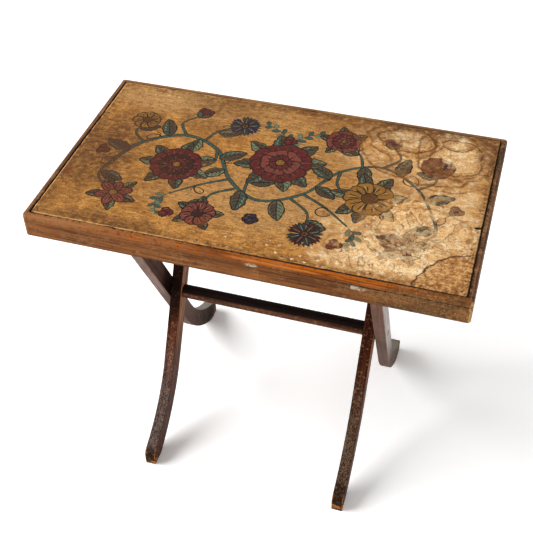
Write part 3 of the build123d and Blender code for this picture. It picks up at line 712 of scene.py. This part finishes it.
SMALL_SPOTS = [(-65, -124, 8, 6, 0.6), (15, 161, 8, 6, 0.7), (47, 160, 7, 5, 0.6), (84, 148, 7, 6, 0.5),
               (-288, -70, 9, 8, 0.75), (-240, 30, 6, 5, 0.5), (100, -150, 5, 4, 0.5),
               (178, -86, 9, 7, 0.5, 0.3), (196, -96, 6, 5, 0.5), (164, -78, 5, 4, 0.5)]
FLECKED = [(80, -148, 66, 20, 1.0), (-30, -150, 40, 12, 0.7), (180, -120, 60, 40, 0.6),
           (-216, 150, 30, 10, 0.6)]
# x, y, half length, half width, line width and strength of the tide lines round water stains
TIDE_LINES = [(165, 133, 41, 31, 0.13, 1.0), (162, 132, 52, 42, 0.08, 0.7), (232, 150, 29, 27, 0.14, 0.9),
              (242, 108, 38, 44, 0.10, 0.9), (238, 118, 58, 60, 0.07, 0.8), (200, 112, 98, 74, 0.05, 0.8),
              (230, 92, 84, 62, 0.05, 0.6), (212, -52, 76, 34, 0.05, 0.45), (188, -118, 84, 46, 0.05, 0.4)]
# x, y, half length and half width of the broken corner and of a notch in the right border, whose shade is
# painted black
BROKEN_CORNER = (305, -190, 82, 100)
NOTCH = (291, -36, 6.5, 2.6)


def panel_rim():
    """Border of the flat painted face in mm, counter-clockwise, with worn corners and a few chips."""
    x, y = half_x - EDGE_ROUND, half_y - EDGE_ROUND
    points = []
    for cx, cy, start in ((x, -y, -90), (x, y, 0), (-x, y, 90), (-x, -y, 180)):
        mx, my = cx - np.sign(cx) * RIM_CORNER, cy - np.sign(cy) * RIM_CORNER
        arc = [radians(start + a) for a in (0, 30, 60, 90)]
        points.append(np.array([(mx + RIM_CORNER * cos(a), my + RIM_CORNER * sin(a)) for a in arc]))
    rim = []
    for i, arc in enumerate(points):
        following = points[(i + 1) % 4][0]
        count = int(np.linalg.norm(following - arc[-1]) / RIM_GAP)
        steps = np.linspace(0, 1, count, endpoint=False)[1:, None]
        rim += [arc, arc[-1] + (following - arc[-1]) * steps]
    rim = np.vstack(rim)
    inward = -np.sign(rim) * (abs(rim) > np.array([x, y]) - 0.1)
    depth = rng.uniform(0.0, 0.3, len(rim))
    for cx, cy, reach, deep in EDGE_CHIPS:
        depth += deep * np.exp(-(((rim - (cx, cy)) ** 2).sum(axis=1)) / reach ** 2)
    return rim + inward * depth[:, None]


def pin_rims():
    """Round border of every pin's hole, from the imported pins."""
    flat = np.array([v.co for v in nodes["panel_pins"].data.vertices])
    heads = flat[flat[:, 2] > top_z - 1e-5][:, :2]
    middles = []
    for point in heads:
        if all(np.linalg.norm(point - m) > PIN_SPREAD / 1000 for m in middles):
            group = heads[np.linalg.norm(heads - point, axis=1) < PIN_SPREAD / 1000]
            middles.append((group.min(axis=0) + group.max(axis=0)) / 2)
    around = np.linspace(0, 2 * pi, 14, endpoint=False)
    circle = PIN_HOLE * np.stack([np.cos(around), np.sin(around)], axis=1)
    return [(m - (top_x, top_y)) * 1000 + circle for m in middles]


def inside(points, outline):
    """Which points lie inside a closed outline, also where it crosses itself."""
    x, y = points[:, :1], points[:, 1:]
    (x0, y0), (x1, y1) = outline.T, np.roll(outline, -1, axis=0).T
    left = (x1 - x0) * (y - y0) - (x - x0) * (y1 - y0)
    upwards = (y0 <= y) & (y1 > y) & (left > 0)
    downwards = (y0 > y) & (y1 <= y) & (left < 0)
    return upwards.sum(axis=1) != downwards.sum(axis=1)


def painted_panel(art):
    """The panel as one closed mesh: the painted face cut along every painted edge, a rounded rim, pin
    holes and a plain underside."""
    rim, holes = panel_rim(), pin_rims()
    flat, loops = [], []
    for outline in [rim, *holes, *art.outlines]:
        loops.append(list(range(len(flat), len(flat) + len(outline))))
        flat += [Vector(point) for point in outline.tolist()]
    cut = delaunay_2d_cdt(flat, [], loops, 1, 1e-5, True)
    where = {old: new for new, olds in enumerate(cut[3]) for old in olds}
    points = [(p.x, p.y, 0.0) for p in cut[0]]
    faces = [list(face) for face in cut[2]]
    middles = np.array(points)[np.array(faces), :2].mean(axis=1)
    last = np.zeros(len(faces), int)
    for number, outline in enumerate([*holes, *art.outlines], 1):
        near = np.flatnonzero(((middles > outline.min(axis=0)) & (middles < outline.max(axis=0))).all(axis=1))
        last[near[inside(middles[near], outline)]] = number
    solid = np.flatnonzero((last == 0) | (last > len(holes)))
    faces = [faces[i] for i in solid]
    colours = [art.colours[n - 1 - len(holes)] if n else NO_PAINT for n in last[solid]]
    kinds = [PAINTED] * len(faces)

    def wall(ring, outline, profile, kind_of):
        """Rings of faces that follow (outwards, down) steps from a border, closed by a last face."""
        middle = outline.mean(axis=0)
        run = np.roll(outline, -1, axis=0) - np.roll(outline, 1, axis=0)
        out = np.stack([run[:, 1], -run[:, 0]], axis=1) / np.linalg.norm(run, axis=1)[:, None]
        out *= np.sign(((outline - middle) * out).sum())
        for k, (away, down) in enumerate(profile):
            start = len(points)
            points.extend((*p, -down) for p in (outline + out * away).tolist())
            lower = list(range(start, start + len(outline)))
            for i in range(len(ring)):
                j = (i + 1) % len(ring)
                faces.append([ring[i], lower[i], lower[j], ring[j]])
                colours.append(NO_PAINT)
                kinds.append(kind_of(k))
            ring = lower
        faces.append(ring[::-1])
        colours.append(NO_PAINT)
        kinds.append(BARE)

    r, thick = EDGE_ROUND, (top_z - bottom_z) * 1000
    rounding = [(r * sin(radians(a)), r * (1 - cos(radians(a)))) for a in (30, 60, 90)]
    wall([where[i] for i in loops[0]], rim,
         rounding + [(r, thick - BACK_CHAMFER), (r - BACK_CHAMFER, thick)],
         lambda k: ROUNDED if k < len(rounding) else BARE)
    for loop, outline in zip(loops[1:], holes):
        wall([where[i] for i in loop][::-1], outline[::-1], [(0.0, PIN_DEPTH)], lambda k: BARE)
    mesh = bpy.data.meshes.new("painted_panel")
    place = [(top_x + x / 1000, top_y + y / 1000, top_z + z / 1000) for x, y, z in points]
    mesh.from_pydata(place, [], faces)
    mesh.polygons.foreach_set("material_index", [int(kind == BARE) for kind in kinds])
    mesh.polygons.foreach_set("use_smooth", [kind == ROUNDED for kind in kinds])
    colours = np.array(colours, np.float32)
    mesh.attributes.new("cover", "FLOAT", "FACE").data.foreach_set("value", colours[:, 3].copy())
    colours[:, 3] = 1.0
    mesh.attributes.new("paint", "FLOAT_COLOR", "CORNER").data.foreach_set(
        "color", np.repeat(colours, [len(face) for face in faces], axis=0).ravel())
    mesh.update()
    return mesh


def painted_surface():
    """Old paint on a tan ground: dark handled patches, bleached water stains with tide lines, flecks, cracks
    and a broken corner. Lengths are in mm."""
    s = Surface("aged_painted_top", Specular_IOR_Level=0.08)
    at = s.mapped(s.place, (-1000 * top_x, -1000 * top_y, -1000 * top_z), (0, 0, 0), (1000, 1000, 1000))
    ragged = s.shaken(at, 0.035, 34.0)
    rough = s.shaken(at, 0.11, 10.0)
    torn = s.shaken(at, 0.07, 14.0)
    wavy = s.shaken(s.shaken(at, 0.03, 30.0), 0.12, 9.0)
    x, y, _ = s.axes(at)

    def spot(where, cx, cy, rx, ry, turn=0.0):
        """Distance from the middle of a spot, 1 at its edge."""
        return s.away(where, (cx, cy, 0), (rx, ry, 1e5), turn)

    def patches(spots, soft, where=ragged):
        """The strongest of several spots, each (x, y, half length, half width, strength and perhaps turn)."""
        return s.most(*[s.step(spot(where, cx, cy, rx, ry, *turn), 1 + soft, 1 - soft, 0.0, strength)
                        for cx, cy, rx, ry, strength, *turn in spots])

    coarse = s.noise(at, 0.045, 5.0, 0.6)
    medium = s.noise(at, 0.13, 5.0, 0.66)
    grain = s.noise(at, 0.34, 4.0, 0.72)
    fine = s.noise(at, 0.8, 3.0, 0.72)

    def brushed_along(where, degrees, length, breadth, detail, roughness, distortion):
        drawn = s.mapped(where, rotation=(0, 0, radians(degrees)), scale=(length, breadth, 1))
        return s.noise(drawn, 1.0, detail, roughness, distortion)

    streaks = brushed_along(at, -32, 0.05, 0.30, 4.0, 0.66, 0.6)
    scratches = brushed_along(at, -48, 0.022, 0.55, 2.0, 0.6, 0.3)
    sweeps = brushed_along(ragged, 24, 0.02, 0.075, 4.0, 0.6, 1.4)
    s.colour = s.ramp(coarse, (0.30, (124, 74, 28)), (0.5, (170, 111, 46)), (0.70, (204, 144, 72)))
    s.veil((216, 158, 86), sweeps, 0.53, 0.66, 0.6)
    s.veil((114, 68, 26), sweeps, 0.46, 0.34, 0.6)
    s.lay((178, 142, 96), patches(GREYED, 0.6))
    s.veil((122, 76, 28), medium, 0.50, 0.62, 0.7)
    s.veil((218, 164, 94), streaks, 0.52, 0.64, 0.6)
    s.veil((122, 76, 28), streaks, 0.46, 0.34, 0.5)
    s.veil((106, 64, 24), grain, 0.53, 0.61, 0.42)
    s.veil((220, 166, 98), grain, 0.45, 0.37, 0.42)
    s.veil((222, 184, 126), scratches, 0.62, 0.69, 0.55)
    s.veil((92, 54, 24), fine, 0.55, 0.62, 0.36)
    s.veil((226, 184, 122), fine, 0.44, 0.37, 0.36)

    stained = patches(STAINED, 0.4)
    levels = s.math("FRACT", s.times(s.noise(s.shaken(at, 0.12, 5.0), 0.0135, 4.0, 0.55, 0.5), 8.0))
    washed = s.times(stained, s.step(levels, 0.95, 0.2, 0.55, 1.0))
    pale = s.times(patches(PALE_PATCHES, 0.35), s.step(s.noise(at, 0.06, 6.0, 0.7), 0.38, 0.54, 0.3, 1.0))
    bleached = s.most(washed, pale)
    cream = s.mix(s.step(medium, 0.38, 0.62), (255, 212, 150), (255, 188, 110))
    s.lay(s.mix(s.times(pale, 0.7), cream, (255, 226, 174)), bleached, 0.95)
    blotches = s.times(stained, s.step(s.noise(at, 0.065, 6.0, 0.74, 0.4), 0.52, 0.565))
    s.lay((200, 132, 66), blotches, 0.45)
    whites = s.times(bleached, s.step(s.noise(at, 0.08, 6.0, 0.74, 0.6), 0.47, 0.41))
    s.lay((255, 232, 192), whites, 0.9)
    tan_specks = s.times(stained, s.step(s.noise(at, 0.22, 5.0, 0.76), 0.545, 0.59))
    s.lay((156, 100, 52), tan_specks, 0.5)
    brown_specks = s.times(stained, s.most(s.step(grain, 0.56, 0.60), s.step(fine, 0.57, 0.62, 0.0, 0.8)))
    s.lay((112, 66, 34), brown_specks, 0.55)
    corner = spot(torn, *BROKEN_CORNER)
    inside_corner = s.step(corner, 1.0, 0.985)
    s.lay(s.mix(s.step(medium, 0.42, 0.58), (226, 170, 106), (166, 110, 60)), inside_corner, 0.75)
    s.lay((92, 54, 28), inside_corner, s.step(grain, 0.52, 0.58), 0.6)

    paint = s.add("Attribute", attribute_name="paint").outputs["Color"]
    painted = s.add("Attribute", attribute_name="cover").outputs["Fac"]
    brushed = s.mix(s.step(grain, 0.34, 0.58, 0.0, 0.65), paint, s.mix(0.6, paint, (12, 12, 16)))
    kept = s.step(s.math("ADD", s.times(grain, 0.6), s.times(medium, 0.5)), 0.72, 0.63)
    faded = s.step(bleached, 0.4, 1.0, 1.0, 0.35)
    thin = s.step(s.noise(at, 0.25, 4.0, 0.7), 0.36, 0.52, 0.92, 1.0)
    cover = s.times(painted, kept, faded, thin)
    s.lay(brushed, cover)

    lines, bands = [], []
    for *place, width, strength in TIDE_LINES:
        edge = s.math("SUBTRACT", spot(wavy, *place), 1.0)
        inner = s.math("ADD", edge, 0.16)
        lines.append(s.times(s.step(s.math("ABSOLUTE", edge), width, 0.0), strength))
        lines.append(s.times(s.step(s.math("ABSOLUTE", inner), 0.5 * width, 0.0), 0.6 * strength))
        bands.append(s.times(s.step(edge, 0.10, 0.0), s.step(edge, -0.34, 0.0), 0.6 * strength))
    s.lay((160, 104, 48), s.most(*bands), s.step(medium, 0.36, 0.56))
    contour = s.times(s.step(levels, 0.18, 0.0), stained, 0.9)
    tide = s.times(s.most(contour, *lines), s.step(s.noise(at, 0.05, 3.0), 0.34, 0.5))
    s.lay((104, 61, 20), tide)
    s.lay((82, 50, 28), patches(DARK_PATCHES, 0.6), s.step(medium, 0.28, 0.60, 0.3, 1.0))
    s.lay((110, 58, 32), patches(SMALL_SPOTS, 0.35, rough))
    torn_edge = s.math("ABSOLUTE", s.math("SUBTRACT", corner, 1.0))
    tear = s.times(s.step(torn_edge, 0.02, 0.006), s.step(medium, 0.34, 0.46))
    s.lay((52, 32, 18), tear, 0.9)

    cracks = s.cells(s.shaken(at, 0.2, 5.0), 0.07, "DISTANCE_TO_EDGE")
    cracked = s.times(s.step(cracks, 0.03, 0.008), s.step(bleached, 0.2, 0.7, 0.0, 0.35),
                      s.step(coarse, 0.42, 0.56))
    s.lay((108, 66, 32), cracked)
    border = s.math("MINIMUM", s.math("SUBTRACT", half_x, s.math("ABSOLUTE", x)),
                    s.math("SUBTRACT", half_y, s.math("ABSOLUTE", y)))
    # Soiling along the border of the top
    grime = s.times(s.step(border, 16.0, 2.0), s.step(medium, 0.36, 0.60))
    s.lay((94, 58, 30), grime, 0.65)
    rubbed = s.times(s.step(border, 2.8, 0.7), s.step(s.noise(at, 0.09, 4.0), 0.36, 0.52),
                     s.step(x, 20.0, -120.0, 0.15, 1.0))
    s.lay((214, 166, 102), rubbed, 0.8)
    # Painted shade: the notch in the right border, painted black
    s.lay((14, 9, 7), s.step(spot(rough, *NOTCH), 1.3, 0.7))
    fleck_field = s.cells(s.shaken(at, 0.25, 4.0), 0.09)
    fleck = s.times(s.step(fleck_field, 0.24, 0.16), patches(FLECKED, 0.3, at), s.step(grain, 0.6, 0.45))
    s.lay((240, 218, 182), fleck, 0.9)
    dots = s.step(s.cells(at, 0.085), 0.085, 0.055)
    s.lay((70, 43, 26), dots, s.step(coarse, 0.42, 0.56), 0.75)

    sunk = s.math("ADD", s.times(s.most(cracked, tear), 1.2), s.times(tide, 0.3))
    relief = s.math("SUBTRACT", s.math("ADD", s.times(grain, 0.5), s.times(cover, 0.35)), sunk)
    relief = s.math("ADD", relief, s.times(fine, 0.25))
    return s.finish(s.step(coarse, 0.3, 0.7, 0.42, 0.58), relief, 0.35, 0.0006)


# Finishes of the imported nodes, and the painted panel that stands for its plain solid
rail_tones = ((82, 43, 14), (127, 74, 30), (160, 100, 46))
left_tones = ((84, 52, 30), (124, 82, 50), (156, 110, 72))
back_tones = ((104, 66, 34), (146, 100, 54), (176, 128, 76))
right_tones = ((56, 31, 18), (98, 62, 38), (150, 104, 70))
outer_tones = ((66, 38, 30), (120, 82, 68), (158, 120, 104))
inner_tones = ((30, 14, 9), (70, 33, 19), (112, 62, 36))
bare_tones = ((116, 80, 48), (150, 110, 70), (172, 134, 92))
orange_nose = ((188, 94, 4), (108, 48, 4))
brown_nose = ((138, 92, 54), (90, 56, 32))
tan_nose = ((176, 126, 70), (126, 82, 42))
worn_nose = ((146, 100, 68), (60, 34, 20))
# place along X, drop below the top, half length, half height, tone and strength, in metres
FRONT_MARKS = [(-0.200, 0.0035, 0.140, 0.0070, (150, 100, 58), 1.0),
               (-0.130, 0.0050, 0.110, 0.0080, (140, 84, 40), 0.7),
               (0.020, 0.0105, 0.010, 0.0030, (206, 190, 166), 0.9),
               (0.160, 0.0135, 0.013, 0.0034, (202, 184, 160), 0.9),
               (0.3040, 0.018, 0.0040, 0.022, (206, 156, 94), 0.9),
               (0.280, 0.0030, 0.050, 0.0060, (98, 58, 26), 0.75),
               (0.276, 0.0125, 0.024, 0.0030, (40, 24, 14), 0.8),
               (0.235, 0.021, 0.080, 0.017, (146, 108, 62), 0.6),
               (0.255, 0.022, 0.034, 0.012, (60, 38, 22), 0.5),
               (0.215, 0.030, 0.030, 0.005, (54, 34, 20), 0.6)]
slope = radians(90) - LEG_LEAN
finishes = {
    rail_wood("front_rail_wood", 0, rail_tones, orange_nose, 0.35, 1.0, FRONT_MARKS): ["front_rail"],
    rail_wood("back_rail_wood", 0, back_tones, tan_nose, 0.2, 0.15): ["back_rail"],
    rail_wood("left_rail_wood", 1, left_tones, brown_nose, 0.5, 0.7): ["left_end_rail"],
    rail_wood("right_rail_wood", 1, right_tones, worn_nose, 0.6, 1.0): ["right_end_rail"],
    leg_wood("outer_leg_wood", -slope, outer_tones, (112, 90, 79), 0.5, 0.1, 1.0): [
        "left_outer_leg", "right_outer_leg"],
    leg_wood("inner_leg_wood", slope, inner_tones, (112, 92, 74), 0.2, 0.9, 0.0): [
        "left_inner_leg", "right_inner_leg"],
    rod_wood("rod_wood"): ["stretcher_rod", "top_bar"],
    bare_wood("batten_wood_long", 0, bare_tones): ["front_ledger", "back_ledger"],
    bare_wood("batten_wood_cross", 1, bare_tones): [
        "left_ledger", "right_ledger", "left_bearer", "right_bearer", "left_seat_cleat", "right_seat_cleat"],
    old_iron("old_iron"): [
        "panel_pins", "mitre_nails", "bearer_screws", "cleat_screws", "top_pivot_screws", "top_pivot_washers",
        "leg_pivot_screws", "leg_washers", "bar_pins"],
}
for material, names in finishes.items():
    for name in names:
        nodes[name].data.materials.clear()
        nodes[name].data.materials.append(material)

panel = linked("painted_panel", painted_panel(garland()))
panel.data.materials.append(painted_surface())
# Underside, edges and pin holes; the edges and holes are black with painted shade
panel.data.materials.append(bare_wood("panel_back_wood", 0, bare_tones, bottom_z + 0.001))
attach(panel, "table_top")
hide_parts("top_panel")

# Camera, fitted to the photograph: sensor in mm, focal length and width in pixels, place in metres
SENSOR = 36.0
FOCAL_PIXELS, PHOTO_PIXELS = 963.8455, 533
CAMERA_PLACE = (0.31493, -1.01863, 1.31462)
AZIMUTH, ELEVATION, ROLL = radians(17.7169), radians(43.1787), radians(-1.1508)
# Strength of the world and tone of the floor as light, and as they are seen; the floor's seen tone brightens
# to the right, painted light that lifts the table's shadow there, and is plain white far out
WORLD_LIGHT, WORLD_SEEN = 0.42, 1.0
FLOOR_LIGHT = 0.86
BRIGHTENING = (-0.2, 1.0, 1.22, 1.78)
WHITE_FROM, WHITE_FULL = 1.4, 2.6
FLOOR_REACH = 9.0
LAMP_TARGET = Vector((0, 0, 0.35))

camera = bpy.data.cameras.new("camera")
camera.sensor_width = SENSOR
camera.lens = SENSOR * FOCAL_PIXELS / PHOTO_PIXELS
back = Vector((sin(AZIMUTH) * cos(ELEVATION), -cos(AZIMUTH) * cos(ELEVATION), sin(ELEVATION)))
right = Vector((0, 0, 1)).cross(back).normalized()
up = back.cross(right)
right, up = cos(ROLL) * right + sin(ROLL) * up, cos(ROLL) * up - sin(ROLL) * right
turn = Matrix((right, up, back)).transposed().to_4x4()
camera_object = linked("camera", camera)
camera_object.matrix_world = Matrix.Translation(CAMERA_PLACE) @ turn
bpy.context.scene.camera = camera_object

world = bpy.data.worlds.new("studio")
bpy.context.scene.world = world
world.use_nodes = True
sky = Nodes(world.node_tree)
background = sky.tree.nodes["Background"].inputs
sky.put(background["Color"], (255, 255, 255))
sky.put(background["Strength"], sky.ranged(sky.seen(), 0.0, 1.0, WORLD_LIGHT, WORLD_SEEN))

floor_mesh = bpy.data.meshes.new("floor")
corners = [(x * FLOOR_REACH, y * FLOOR_REACH, 0) for x, y in ((-1, -1), (1, -1), (1, 1), (-1, 1))]
floor_mesh.from_pydata(corners, [], [(0, 1, 2, 3)])
floor = linked("floor", floor_mesh)
paper = bpy.data.materials.new("floor_paper")
paper.use_nodes = True
ground = Nodes(paper.node_tree)
ground.tree.nodes.remove(ground.tree.nodes["Principled BSDF"])
spread = ground.add("TexCoord").outputs["Object"]
seen = ground.seen()
bright = ground.ranged(ground.axes(spread)["X"], *BRIGHTENING)
diffuse = ground.add("BsdfDiffuse", {"Color": ground.ranged(seen, 0.0, 1.0, FLOOR_LIGHT, bright)})
far = ground.ranged(ground.length(spread), WHITE_FROM, WHITE_FULL)
white = ground.add("Emission")
blend = ground.add("MixShader", {0: ground.times(far, seen), 1: diffuse.outputs[0], 2: white.outputs[0]})
ground.put(ground.tree.nodes["Material Output"].inputs["Surface"], blend.outputs[0])
floor_mesh.materials.append(paper)


def lamp(name, place, size, power):
    data = bpy.data.lights.new(name, "AREA")
    data.shape = "DISK"
    data.size = size
    data.energy = power
    lit = linked(name, data)
    lit.location = place
    lit.rotation_euler = (LAMP_TARGET - Vector(place)).to_track_quat("-Z", "Y").to_euler()


lamp("key", (-3.05, -0.72, 2.25), 3.2, 190)
lamp("fill", (1.0, -2.7, 1.5), 1.6, 12)

bpy.context.scene.view_settings.view_transform = "Standard"
